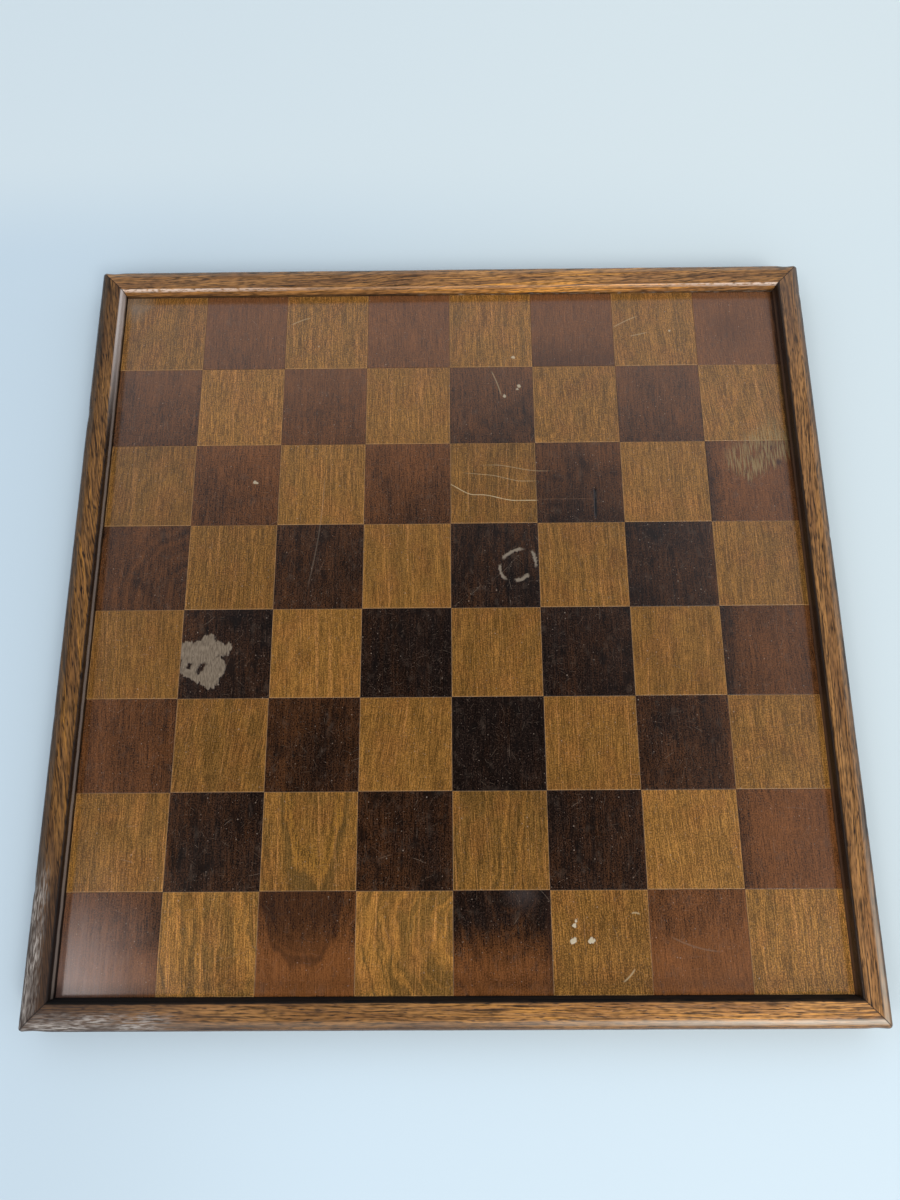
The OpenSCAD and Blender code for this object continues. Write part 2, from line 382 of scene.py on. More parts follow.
class SquareWood(Finish):
    """The pattern that both woods share: growth rings round the log's heart, fibre and pores along
    them, and the marks of use that lie over the whole field. Its u and v are the place in squares
    from the field's near left corner."""

    def __init__(self, name):
        super().__init__(name)
        self.to_left, self.to_right = self.x - FIELD_LEFT, FIELD_RIGHT - self.x
        self.to_near, self.to_far = self.y - FIELD_NEAR, FIELD_FAR - self.y
        self.u = self.to_left / (PITCH / MM)
        self.v = self.to_near / (PITCH / MM)
        self.tone = self.attribute("tone")
        heart_x, heart_y, drawn = self.parts(self.attribute("heart", "Vector"))
        from_x = self.x - heart_x
        from_y = (self.y - heart_y) * drawn
        drift = self.noise(self.x / 18, self.y / 40)
        across = self.x + self.attribute("lean") * self.y + drift * 2.5
        self.streak = self.noise(across * 0.6, self.y / 100, self.tone * 3, detail=2.0)
        self.thread = self.noise(across * 1.6, self.y / 18, detail=1.0)
        self.fibre = self.noise(across * 1.8, self.y / 4.0, detail=1.0)
        self.grit = self.noise(self.x * 1.5, self.y * 1.3, detail=1.0)
        self.mottle = self.noise(self.x / 11, self.y / 22, self.tone * 9, detail=3.0)
        waver = (self.mottle - 0.5) * (self.attribute("figure") * 9 + 1)
        self.ring = (from_x * from_x + from_y * from_y) ** 0.5 + drift * 6 + waver + 2
        self.band = self.noise(self.ring / 4.2, self.y / 140, detail=1.0)
        coarse = self.attribute("coarse")
        self.fine = ((self.fibre - 0.5) * 1.3 + (self.grit - 0.5) * 2.0 + (self.thread - 0.5) * 1.6) * coarse

    def edge_line(self, width):
        """1 on the square's own edge, falling to 0 at the width in millimetres."""
        def to_edge(place):
            """How far a place in squares is from the nearest whole number."""
            return self.math("PINGPONG", self.math("FRACT", place), 0.5)
        return self.smaller(to_edge(self.u), to_edge(self.v)).between(width * MM / PITCH, GLUE_LINE / PITCH)

    def cells(self, size):
        """Scattered points, about one to each cell of the size given: the distance in millimetres to
        the nearest one, three random numbers that it has, and its own place."""
        at = self.node("ShaderNodeCombineXYZ", {}, self.x / size, self.y / size)
        flat = {"voronoi_dimensions": "2D"}
        outputs = self.node("ShaderNodeTexVoronoi", flat, Vector=at, Scale=1.0).socket.node.outputs
        distance, colour, place = [Socket(self, outputs[key]) for key in ("Distance", "Color", "Position")]
        return distance * size, self.parts(colour), self.parts(self.scaled(place, size))

    def specks(self, cell, size, share):
        """Chips in the finish: in a share of the cells, a round one of up to the size given."""
        distance, (chance, strength, _), _ = self.cells(cell)
        radius = (chance - (1 - share)) * (size / share)
        return (distance - radius).between(0.08, -0.12) * strength

    def hairlines(self, cell, length, width, share):
        """Fine scratches: in a share of the cells, one slightly bent line at any angle."""
        _, (chance, turn, bend), (seed_x, seed_y, _) = self.cells(cell)
        away_x, away_y = self.x - seed_x, self.y - seed_y
        cosine = self.math("COSINE", turn * FULL_TURN)
        sine = self.math("SINE", turn * FULL_TURN)
        along = away_x * cosine + away_y * sine
        aside = away_y * cosine - away_x * sine + along * along * (bend - 0.5) * (0.3 / length)
        reach = self.size(along) / (bend + 0.3)
        line = self.size(aside).between(width, width * 0.3) * reach.between(length / 2, length / 5)
        return line * chance.between(1 - share, 1 - share * 0.4)

    def grime(self):
        """Dirt and painted shade where the rails shade the squares, deepest at the near and the right one."""
        teeth = self.noise(self.x / 0.9, self.y / 7) * 1.6 + self.noise(self.x / 9, self.y / 9) * 1.6
        near = (self.to_near + teeth).between(2.0, 1.2) * self.u.between(0.2, 1.1) * 0.7
        beyond = self.v.between(4.5, 6.5)
        right = self.to_right * (self.v.between(0, 3) * 0.5 + 0.8) + teeth - beyond * 1.6
        right = right.between(2.6, 1.2) * (beyond * 0.5 + 0.3)
        far = (self.to_far + teeth).between(2.2, 1.1) * 0.2
        left = (self.to_left + teeth).between(2.0, 1.0) * 0.25
        return self.larger(self.larger(near, right), self.larger(far, left))

    def rubbed(self):
        """Painted light: how much paler the colour is made in the strip that the rails shade, to lift their
        shadow.
        """
        near = self.to_near.between(7, 0) * self.u.between(0.5, 1.5) * 1.25
        right = self.to_right.between(6, 0) * self.v.between(6, 3) * 1.1
        far = self.to_far.between(8, 0) * 0.2
        left = self.to_left.between(6, 0) * 0.45
        return near + right + far + left + 1.0

    def finished(self, colour, marks):
        """Lays painted light in the rails' shade, marks, specks, scratches, dirt and painted shade over the
        wood, and the worn shellac over all. Each mark is a share, a tint and a depth in millimetres."""
        height = self.fibre * 0.008 + self.thread * 0.006
        # Painted light in the strip that the rails shade
        colour = self.scaled(colour, self.rubbed())
        for share, tint, depth in marks(self):
            colour = self.mix(share, colour, tint)
            height = height - share * depth
        chips = sum(self.specks(*kind) for kind in SPECKS)
        fine_lines = sum(self.hairlines(*kind) * strength for *kind, strength in FINE_LINES)
        scratches = sum(self.hairlines(*kind) * strength for *kind, strength in SCRATCHES)
        colour = self.mix(chips * 0.7 + fine_lines + scratches, colour, SCRATCH_DUST)
        # Dirt and painted shade along the rails
        colour = self.mix(self.grime() * 0.95, colour, DIRT_AND_SHADE_BLACK)
        height = height - chips * 0.03 - scratches * 0.02
        roughness = 0.14 + self.mottle * 0.10 + chips * 0.3 + scratches * 0.1
        return self.done(colour, roughness, height, Specular_IOR_Level=0.5)


# The light wood's colours
GOLDEN_TAN = srgb(136, 94, 42)
OLIVE_RING = srgb(104, 74, 34)
ORANGE_TAN = srgb(138, 87, 43)
PALE_STREAK = srgb(166, 114, 60)
TAN_EDGE = srgb(182, 138, 88)


def light_wood(name, marks):
    """Golden tan wood with olive and orange in it, dark pores, and a pale line where each square ends."""
    wood = SquareWood(name)
    hue = wood.noise(wood.x / 14, wood.y / 17, wood.tone * 5 + 3)
    figure = wood.attribute("figure")
    colour = wood.mix(wood.band.between(0.36, 0.64) * figure, GOLDEN_TAN, OLIVE_RING)
    colour = wood.mix(hue.between(0.42, 0.7) * 0.35, colour, ORANGE_TAN)
    colour = wood.mix(wood.streak.between(0.60, 0.70) * 0.5, colour, PALE_STREAK)
    colour = wood.scaled(colour, wood.larger(wood.fine + 1.0, 0.55))
    colour = wood.scaled(colour, 0.76 + wood.mottle * 0.34 + wood.tone * 0.04 + wood.attribute("pale"))
    line = wood.edge_line(0.55) * (0.3 + wood.noise(wood.x / 9, wood.y / 9) * 0.6)
    colour = wood.mix(line, colour, TAN_EDGE)
    return wood.finished(colour, marks)


# The dark wood's colours
FRESH_STAIN = srgb(21, 12, 8)
WORN_STAIN = srgb(117, 71, 35)
DUSTY_PORE = srgb(110, 88, 72)
STAIN_HAZE = srgb(110, 88, 74)
STAIN_SMEAR = srgb(10, 6, 5)
DULL_DUST = srgb(92, 78, 66)
FAR_PAINTED_REFLECTION = srgb(58, 64, 60)


def dark_wood(name, marks):
    """Near-black stained wood, brown where the stain has gone, with haze, smears and dust in its finish,
    and a painted reflection of the bright room over the far rows.
    """
    wood = SquareWood(name)
    cloud = wood.noise(wood.x / 20, wood.y / 34, wood.tone * 7, detail=3.0)
    band = wood.noise(wood.ring / 3.2, wood.y / 90, detail=3.0)
    wear = wood.attribute("wear") + (cloud - 0.5) * 0.5 + (wood.streak - 0.5) * 0.26
    wear = wear + (band - 0.5) * (wood.attribute("figure") * 0.5 + 0.05)
    worn = wear.between(-0.1, 1.1)
    colour = wood.mix(worn, FRESH_STAIN, WORN_STAIN)
    fine = (wood.fine + (wood.grit - 0.5) * (1 - worn) * 1.2) * (1.4 - worn * 0.95) + 1.0
    deep = wood.smaller(wood.larger(fine, 0.15), 1.5)
    colour = wood.scaled(colour, deep * (0.8 + wood.mottle * 0.4 + wood.tone * 0.06))
    colour = wood.mix(fine.between(1.4, 2.6) * 0.12, colour, DUSTY_PORE)
    haze = wood.noise(wood.x / 1.1, wood.y / 0.9, detail=3.0).between(0.5, 0.75) * (1 - worn) * 0.12
    colour = wood.mix(haze, colour, STAIN_HAZE)
    smear = wood.noise(wood.x / 7, wood.y / 12, wood.tone * 4, detail=3.0).between(0.56, 0.68) * 0.6
    colour = wood.mix(smear * (1 - worn), colour, STAIN_SMEAR)
    dust = wood.noise(wood.x / 5, wood.y / 7, detail=5.0)
    colour = wood.mix(dust.between(0.55, 0.8) * 0.2, colour, DULL_DUST)
    # Painted reflection of the bright room over the far rows
    colour = wood.mix(wood.v.between(5.5, 7.2) * 0.16, colour, FAR_PAINTED_REFLECTION)
    return wood.finished(colour, marks)


# Tints of the marks of use, whose places are in squares from the field's near left corner
PALE_TAN = srgb(196, 172, 130)
GREY_TAN = srgb(150, 132, 112)
PAINT = srgb(206, 190, 158)


def stroke(wood, start, end, bow=0.0, width=0.012, ragged=0.0):
    """1 on a line between two places in squares, bent sideways by a parabola, and 0 off it. Noise can
    make its sides ragged."""
    span = np.subtract(end, start)
    length = float(np.linalg.norm(span))
    cosine, sine = (span / length).tolist()
    away_u, away_v = wood.u - start[0], wood.v - start[1]
    along = (away_u * cosine + away_v * sine) / length
    aside = wood.size(away_v * cosine - away_u * sine - along * (1 - along) * (4 * bow))
    if ragged:
        aside = aside + (wood.noise(wood.u * 30, wood.v * 30, detail=3.0) - 0.5) * ragged
        along = along + (wood.noise(wood.u * 60, wood.v * 20) - 0.5) * 0.2
    return aside.between(width, width * 0.3) * along.between(-0.02, 0.12) * along.between(1.02, 0.8)


def stepped_scratch(wood, start, steps, ends, width):
    """A scratch that runs to the right at a height that starts as given and falls in smooth steps, each
    with its drop and its two ends. It fades at its own ends and is uneven along its length."""
    level = wood.v - start
    for drop, first, last in steps:
        level = level + wood.u.between(first, last) * drop
    uneven = 0.45 + wood.noise(wood.u * 14, wood.v) * 0.9
    on_line = wood.size(level).between(width, width * 0.3)
    return on_line * wood.u.between(*ends[:2]) * wood.u.between(*ends[2:]) * uneven


def spot(wood, place, radius, ragged=0.0, grain=9.0):
    """The distance in squares outside a round spot, less than 0 inside it. Noise of the grain given,
    in periods to a square, makes its edge ragged by a share of a square."""
    away_u, away_v = wood.u - place[0], wood.v - place[1]
    distance = (away_u * away_u + away_v * away_v) ** 0.5
    if ragged:
        distance = distance + (wood.noise(wood.u * grain, wood.v * grain, detail=3.0) - 0.5) * ragged
    return distance - radius


def flecks(wood, spots, ragged, grain):
    """1 inside small ragged crusts, given as place and radius, and 0 off them."""
    away = reduce(wood.smaller, [spot(wood, place, radius, ragged, grain) for place, radius in spots])
    return away.between(0.006, -0.006)


# What shows where the finish is off, and where a base has stood
BARE_SHADE = srgb(106, 92, 76)
BARE_GREY = srgb(138, 122, 102)
RING_GREY = srgb(138, 124, 106)


def stripped_blotch(wood):
    """Where something took the finish off: a ragged star of bare grey wood with two islands left in it."""
    lobes = [((1.20, 3.45), 0.19), ((1.08, 3.52), 0.12), ((1.31, 3.64), 0.08), ((1.40, 3.55), 0.09),
             ((1.46, 3.54), 0.07), ((1.53, 3.57), 0.04), ((1.36, 3.34), 0.14), ((1.33, 3.22), 0.11),
             ((1.12, 3.34), 0.11), ((1.20, 3.28), 0.10)]
    away = reduce(wood.smaller, [spot(wood, place, radius) for place, radius in lobes])
    ragged = (wood.noise(wood.u * 26, wood.v * 13, detail=3.0) - 0.5) * 0.09
    islands = wood.larger(stroke(wood, (1.09, 3.32), (1.105, 3.40), 0.0, 0.035, 0.04),
                          stroke(wood, (1.19, 3.27), (1.29, 3.40), 0.01, 0.04, 0.06))
    share = (away + ragged).between(0.012, -0.012) * (1 - islands)
    streak = wood.noise(wood.x * 1.4, wood.y / 3, detail=3.0)
    tint = wood.mix(streak.between(0.3, 0.7), BARE_SHADE, BARE_GREY)
    return [(share * 0.93, tint, 0.06)]


def cup_ring(wood):
    """Four ragged pieces of the ring that a small base left."""
    pieces = [((4.58, 4.565), (4.84, 4.69), 0.03, 0.026), ((4.558, 4.51), (4.635, 4.315), -0.03, 0.024),
              ((4.72, 4.31), (4.89, 4.39), -0.015, 0.03), ((4.915, 4.67), (4.965, 4.46), 0.015, 0.024)]
    share = reduce(wood.larger, [stroke(wood, *piece, ragged=0.045) for piece in pieces])
    return [(share * 0.85, RING_GREY, 0.03)]


# The scratches' trail and the crack
TRAIL_BROWN = srgb(120, 88, 64)
CRACK_BLACK = srgb(6, 4, 4)


def long_scratches(wood):
    """Three wavering scratches and a faint trail across two squares, and a short crack along the grain."""
    first = stepped_scratch(wood, 5.51, [(0.16, 3.90, 4.28), (0.075, 4.34, 4.76)],
                            (3.99, 4.01, 5.03, 4.97), 0.007)
    second = stepped_scratch(wood, 5.625, [(0.03, 4.1, 4.5), (0.08, 4.42, 4.85)],
                             (4.1, 4.3, 5.06, 4.9), 0.005)
    third = stepped_scratch(wood, 5.72, [(0.08, 4.5, 5.05)], (4.3, 4.6, 5.25, 4.95), 0.005)
    trail = stepped_scratch(wood, 5.29, [], (4.98, 5.05, 5.75, 5.5), 0.006)
    crack = stroke(wood, (5.68, 5.43), (5.672, 5.04), width=0.02)
    faint = wood.larger(second, third) * 0.55
    return [(wood.larger(first * 0.9, faint), PALE_TAN, 0.05), (trail * 0.4, TRAIL_BROWN, 0.03),
            (crack, CRACK_BLACK, 0.15)]


# The streaks' bare wood and the dirt in them
BARE_STRAW = srgb(150, 128, 84)
STREAK_DIRT = srgb(44, 26, 24)


def worn_streaks(wood):
    """Stain and finish gone in streaks along the grain, with ragged ends, over two squares at the right."""
    comb = wood.noise(wood.x * 0.7, wood.y / 40, detail=5.0)
    lower = 5.14 + comb * 0.62 + wood.size(wood.u - 7.5) * 0.7
    upper = 6.42 - wood.size(wood.u - 7.78) * 0.8
    inside = (wood.v - lower).between(0, 0.12) * (upper - wood.v).between(0, 0.3) * wood.u.between(7.15, 7.3)
    streak = wood.noise(wood.x * 1.2, wood.y / 9, detail=3.0).between(0.40, 0.62)
    dirt = spot(wood, (7.84, 5.72), 0.03, 0.04).between(0.03, -0.02)
    return [(inside * streak * 0.66, BARE_STRAW, 0.04), (dirt * 0.7, STREAK_DIRT, 0.0)]


def paint_flecks(wood):
    """Small crusts of pale paint, and two scratches."""
    crusts = [((5.25, 0.70), 0.012), ((5.235, 0.655), 0.02), ((5.215, 0.505), 0.03), ((5.235, 0.53), 0.015),
              ((5.405, 0.515), 0.026), ((5.38, 0.505), 0.02), ((5.43, 0.52), 0.018)]
    lines = wood.larger(stroke(wood, (5.70, 0.12), (5.83, 0.25), -0.01),
                        stroke(wood, (5.82, 0.77), (5.91, 0.76), 0.01))
    return [(flecks(wood, crusts, 0.045, 24.0) * 0.9, PAINT, -0.08), (lines * 0.6, PALE_TAN, 0.04)]


def far_flecks(wood):
    """Crusts of pale paint on the far squares, and a few scratches there."""
    crusts = [((4.83, 6.74), 0.02), ((4.81, 6.70), 0.016), ((4.65, 6.61), 0.018), ((4.77, 7.13), 0.018),
              ((1.71, 5.53), 0.02), ((1.74, 5.52), 0.014), ((6.69, 7.47), 0.014), ((2.40, 7.30), 0.012)]
    scratches = [((6.00, 7.52), (6.32, 7.68), 0.01), ((6.20, 7.40), (6.42, 7.45), 0.0),
                 ((0.72, 7.60), (0.92, 7.49), 0.0), ((2.05, 7.60), (2.30, 7.70), 0.01),
                 ((4.50, 6.95), (4.62, 6.60), 0.01)]
    lines = reduce(wood.larger, [stroke(wood, *scratch, width=0.01) for scratch in scratches])
    return [(flecks(wood, crusts, 0.04, 22.0) * 0.6, PAINT, -0.06), (lines * 0.35, PALE_TAN, 0.04)]


def file_scratches(wood):
    """A long scratch down one file, and a short one on a near square."""
    lines = wood.larger(stroke(wood, (2.53, 5.63), (2.36, 4.18), 0.04, 0.01),
                        stroke(wood, (6.2, 0.55), (6.72, 0.4), -0.03))
    return [(lines * 0.2, GREY_TAN, 0.03)]


# Bloom with painted sheen, the two arches and the smudges
MILKY_BLOOM_AND_SHEEN = srgb(150, 120, 108)
RING_GOLD = srgb(160, 112, 42)
RING_OLIVE = srgb(86, 68, 34)
KEPT_STAIN = srgb(34, 21, 16)
GREY_HAZE = srgb(84, 78, 76)
PALE_HAZE = srgb(140, 128, 112)
BROWN_CLOUD = srgb(46, 28, 20)


def corner_bloom(wood):
    """The milky bloom of old shellac in the corner where the board is held, with a painted sheen in it."""
    away = spot(wood, (0.0, 0.05), 0.0, 0.2, 3.0)
    streak = wood.noise(wood.x / 1.6, wood.y / 30)
    # Milky bloom and painted sheen in the corner
    return [(away.between(1.3, -0.1) * (0.25 + streak * 0.5), MILKY_BLOOM_AND_SHEEN, 0.0)]


def golden_arch(wood):
    """The outermost growth ring of one square, in gold, and an olive one round it."""
    arch = wood.ring.between(15.5, 18.0) * wood.ring.between(22.0, 19.0) * (wood.fine * 1.5 + 0.6)
    round_it = wood.ring.between(20.5, 22.5) * wood.ring.between(27.0, 24.0)
    return [(arch * 0.42, RING_GOLD, 0.0), (round_it * 0.25, RING_OLIVE, 0.0)]


def dark_arch(wood):
    """The stain kept above one growth ring of a worn square, and darkest along the ring."""
    kept = wood.ring.between(28.5, 24.0) * (0.3 + wood.v.between(0.3, 1.0) * 0.25)
    along_it = wood.ring.between(24.5, 26.0) * wood.ring.between(28.5, 26.8) * 0.5
    return [(wood.larger(kept, along_it), KEPT_STAIN, 0.0)]


def smudges(wood):
    """Grey hazes and dark clouds in the finish."""
    haze = spot(wood, (4.72, 0.98), 0.0, 0.1).between(0.26, 0.0) * 0.3
    corner = spot(wood, (0.0, 8.0), 0.0, 0.15).between(0.42, 0.05) * 0.55
    cloud = spot(wood, (7.45, 7.5), 0.0, 0.35, 2.5).between(0.45, 0.0) * 0.35
    low = wood.v.between(7.5, 7.05) * wood.u.between(4.9, 5.0) * wood.u.between(6.1, 6.0) * 0.45
    return [(haze, GREY_HAZE, 0.0), (corner, PALE_HAZE, 0.0),
            (wood.larger(cloud, low), BROWN_CLOUD, 0.0)]


# The squares that have marks of their own
MARKED = {
    "b4": stripped_blotch, "e5": cup_ring, "e6": long_scratches, "f6": long_scratches,
    "h6": worn_streaks, "h7": worn_streaks, "f1": paint_flecks,
    "e7": far_flecks, "e8": far_flecks, "b6": far_flecks, "g8": far_flecks, "c8": far_flecks,
    "c6": file_scratches, "c5": file_scratches, "g1": file_scratches,
    "a1": corner_bloom, "b1": corner_bloom, "c1": dark_arch, "c2": golden_arch,
    "e1": smudges, "a8": smudges, "f8": smudges, "h8": smudges,
}


def unmarked(wood):
    """Nothing but the marks that the whole field has."""
    return []


finishes = {}
for rank in range(FILES):
    for file in range(FILES):
        name = "abcdefgh"[file] + str(rank + 1)
        dark = (file + rank) % 2 == 0
        marks = MARKED.get(name, unmarked)
        if (dark, marks) not in finishes:
            make = dark_wood if dark else light_wood
            finishes[dark, marks] = make(make.__name__ + "_" + marks.__name__, marks)
        moves = rng.uniform(-1, 1, len(MOVES)) * MOVES * MM
        mesh = square_shell("square_" + name, file, rank, moves)
        wood_attributes(mesh, name, file, rank)
        mesh.materials.append(finishes[dark, marks])
        square = in_scene(mesh)
        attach(square, "root")
        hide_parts(f"rank_{rank + 1}_{'dark' if dark else 'light'}_squares")


# The four rails: oak, moulded with a flat top, a wide round outside and a small one inside,
# grooved for the ground, mitred, glued and pinned. Hands have worn the edges wavy, dulled the
# rounds and bruised the corners.

RAIL_LOW, RAIL_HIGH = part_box("near_rail")
# Half the clear side between the rails, and the same in millimetres
HALF_OPENING = -RAIL_HIGH.y
HALF_OPENING_MM = HALF_OPENING / MM
RAIL_WIDTH = RAIL_HIGH.y - RAIL_LOW.y
OUTER_ROUND = 5.5 * MM
INNER_ROUND = 1.2 * MM
FOOT_ROUND = 1 * MM
# The groove's depth, and the heights of its floor and its ceiling
GROOVE = (5 * MM, 5.45 * MM, 9.55 * MM)
MITRE_LINE = 0.12 * MM
# Radius of the upright corners at the inner face, and what it grows by to the outer one, with the
# square of the place across
CORNER_ROUND = 0.15 * MM
CORNER_GROWTH = 1.9 * MM
# Rings of points along the straight of a rail, and round each half corner
RINGS = 260
CORNER_RINGS = 5
# How far the worn outer face stays inside the unworn one, at least, and the deepest wear
FACE_ROOM = 0.05 * MM
DEEPEST_WEAR = 0.9 * MM
# Height above the squares over which the wear sets in
WEAR_RISE = 3 * MM
# Edges sharper than this many degrees are shaded as edges
SHARP_ANGLE = 40
# How the rails' edges are worn: the middle and the width of the strip across a rail, how deep, and
# the number of waves along it with the longest and the shortest of their lengths
WORN_STRIPS = [
    (0.4 * MM, 1.2 * MM, 0.22 * MM, 7, 110 * MM, 9 * MM),
    (RAIL_WIDTH - 1.6 * MM, 2.5 * MM, 0.14 * MM, 6, 160 * MM, 20 * MM),
    (6 * MM, 3 * MM, 0.06 * MM, 5, 200 * MM, 30 * MM),
]


def arc(centre, radius, start, end, steps):
    """Points on part of a circle, with angles in degrees from the outward side."""
    turn = np.radians(np.linspace(start, end, steps))
    return np.stack([centre[0] + radius * np.cos(turn), centre[1] + radius * np.sin(turn)], -1)


def line(start, end, steps):
    """Even points on a straight line, without its ends."""
    share = np.linspace(0, 1, steps + 2)[1:-1, None]
    return np.array(start) * (1 - share) + np.array(end) * share


def rail_section():
    """The moulding's outline as outward offset and height, once round: up the inner face past the
    groove, over the inner round, the crowned top and the wide outer round, down to the foot and back."""
    depth, low, high = GROOVE
    top, out = RAIL_HIGH.z, RAIL_WIDTH
    inner_centre = (INNER_ROUND, top - INNER_ROUND)
    outer_centre = (out - OUTER_ROUND, top - OUTER_ROUND)
    foot_centre = (out - FOOT_ROUND, FOOT_ROUND)
    groove = np.array([(0, 0), (0, low), (depth, low), (depth, high), (0, high)])
    inner = arc(inner_centre, INNER_ROUND, 180, 90, steps=6)
    outer = arc(outer_centre, OUTER_ROUND, 90, 0, steps=13)
    foot = arc(foot_centre, FOOT_ROUND, 0, -90, steps=4)
    face = line(groove[-1], inner[0], steps=6)
    crown = line(inner[-1], outer[0], steps=7)
    side = line(outer[-1], foot[0], steps=5)
    return np.concatenate([groove, face, inner, crown, outer, side, foot])


def outward(section):
    """The direction out of the wood at each point of the outline: the line between its two
    neighbours, given a quarter turn and a length of 1."""
    before, after = np.roll(section, 1, 0), np.roll(section, -1, 0)
    normal = np.stack([before[:, 1] - after[:, 1], after[:, 0] - before[:, 0]], -1)
    return normal / np.linalg.norm(normal, axis=1, keepdims=True)


SECTION = rail_section()
SECTION_NORMAL = outward(SECTION)
ROUND_AT_CORNER = CORNER_ROUND + CORNER_GROWTH * (SECTION[:, 0] / RAIL_WIDTH) ** 2


def bell(value, middle, width):
    """A bell curve: e to the minus square of the distance from the middle, counted in widths."""
    return np.exp(-((value - middle) / width) ** 2)


def wave(along, count, longest, shortest):
    """Hand wear along a rail: the mean of sines of random phase. Their lengths fall by one ratio from
    the longest to the shortest, and their heights with the root of the length."""
    lengths = np.geomspace(longest, shortest, count)
    phase = rng.uniform(0, 2 * np.pi, count)
    return (np.sin(2 * np.pi * along[..., None] / lengths + phase) * (lengths / longest) ** 0.5).mean(-1)


def rail_wear(along, bruises):
    """How far the surface has gone in, in metres, by the place along the rail and round the section:
    a slow wave in each worn strip, and a bell-shaped bruise at each place named."""
    offset, height = SECTION[:, 0], SECTION[:, 1]
    above = np.clip((height - FIELD_HIGH.z) / WEAR_RISE, 0, 1)
    gone = 0
    for middle, width, deep, *waves in WORN_STRIPS:
        gone = gone + deep * (0.5 + wave(along, *waves)) * bell(offset, middle, width) * above
    for place, across, long, wide, deep in bruises:
        bruise = bell(along, place * MM, long * MM) * bell(offset, across * MM, wide * MM)
        gone = gone + deep * MM * bruise * above
    return np.clip(gone, 0, DEEPEST_WEAR)


def rail_shell(name, quarter, bruises):
    """The section carried along a straight line with a short arc at each end, whose radius grows
    towards the outer face, up to the mitre's plane, then turned by a number of quarter turns."""
    straight = np.linspace(-1, 1, RINGS)
    turn = np.radians(np.linspace(0, 45, CORNER_RINGS + 1)[1:])
    reach = HALF_OPENING + SECTION[:, 0] - ROUND_AT_CORNER - MITRE_LINE / np.sqrt(2)
    middle_x = straight[:, None] * reach
    corner_x = reach + ROUND_AT_CORNER * np.sin(turn)[:, None]
    corner_in = ROUND_AT_CORNER * (1 - np.cos(turn))[:, None]
    along = np.concatenate([-corner_x[::-1], middle_x, corner_x])
    inset = np.concatenate([corner_in[::-1], np.zeros_like(middle_x), corner_in])
    gone = rail_wear(along, bruises)
    offset = SECTION[:, 0] - inset - gone * SECTION_NORMAL[:, 0]
    offset = np.minimum(offset, RAIL_WIDTH - FACE_ROOM)
    height = SECTION[:, 1] - gone * SECTION_NORMAL[:, 1]
    x, y = along, -HALF_OPENING - offset
    cosine, sine = [(1, 0), (0, 1), (-1, 0), (0, -1)][quarter]
    points = np.stack([x * cosine - y * sine, x * sine + y * cosine, height], -1)
    rows, count = along.shape
    index = np.arange(rows * count).reshape(rows, count)
    ahead = np.roll(index, -1, axis=1)
    faces = np.stack([index[:-1], ahead[:-1], ahead[1:], index[1:]], -1).reshape(-1, 4)
    ends = [index[0, ::-1].tolist(), index[-1].tolist()]
    mesh = shaded_mesh(name, points.reshape(-1, 3), faces.tolist(), ends)
    mesh.set_sharp_from_angle(angle=np.radians(SHARP_ANGLE))
    return mesh


# The oak's colours
OAK_BROWN = srgb(115, 78, 43)
OAK_TAN = srgb(140, 99, 56)
OAK_GOLD = srgb(176, 120, 52)
OAK_LINE = srgb(44, 28, 17)


def oak_grain(wood, along, across, gold, lines, lean, seed):
    """The bare oak: fine pores, and short and long dark lines, over golden brown. Gives its colour,
    its pores and its dark lines."""
    cross = across * 0.9 + wood.z * 0.8 + along * lean + wood.noise(along / 90, across / 22, seed) * 5
    pores = wood.noise(cross * 1.4, along / 6, seed + 1.0, detail=1.0)
    fine = wood.noise(cross * 1.8, along / 22, seed + 3.0, detail=1.0)
    short = wood.noise(cross * 1.6, along / 7, seed + 5.0, detail=2.0).between(0.57, 0.68)
    long = wood.noise(cross * 1.1, along / 45, seed + 11.0, detail=1.0).between(0.59, 0.66)
    dark = wood.larger(short, long * 0.8) * lines
    share, first, last = gold
    golden = along.between(first - 50, first + 50) * along.between(last + 50, last - 50) * 0.75 + 0.25
    glow = wood.noise(cross * 0.9, along / 90, seed + 9.0, detail=1.0).between(0.46, 0.60) * golden * share
    patch = wood.noise(along / 50, cross / 5, seed + 7.0, detail=2.0)
    colour = wood.mix(patch.between(0.3, 0.7), OAK_BROWN, OAK_TAN)
    colour = wood.mix(glow * patch.between(0.25, 0.65), colour, OAK_GOLD)
    colour = wood.mix(dark, colour, OAK_LINE)
    grain = (pores - 0.5) * 2.4 + (fine - 0.5) * 3.0 + 1.0
    grain = wood.smaller(wood.larger(grain, 0.2), 1.4) * 1.07
    return wood.scaled(colour, grain * (1 + (golden - 0.25) * (share * 0.5))), pores, dark


# What dirt, painted shade, painted highlights and dark mitre lines make of them
OAK_DIRT = srgb(52, 36, 28)
OUTER_DIRT_AND_SHADE = srgb(46, 31, 23)
OAK_PAINTED_HIGHLIGHT = srgb(214, 196, 172)
MITRE_BLACK = srgb(24, 18, 15)


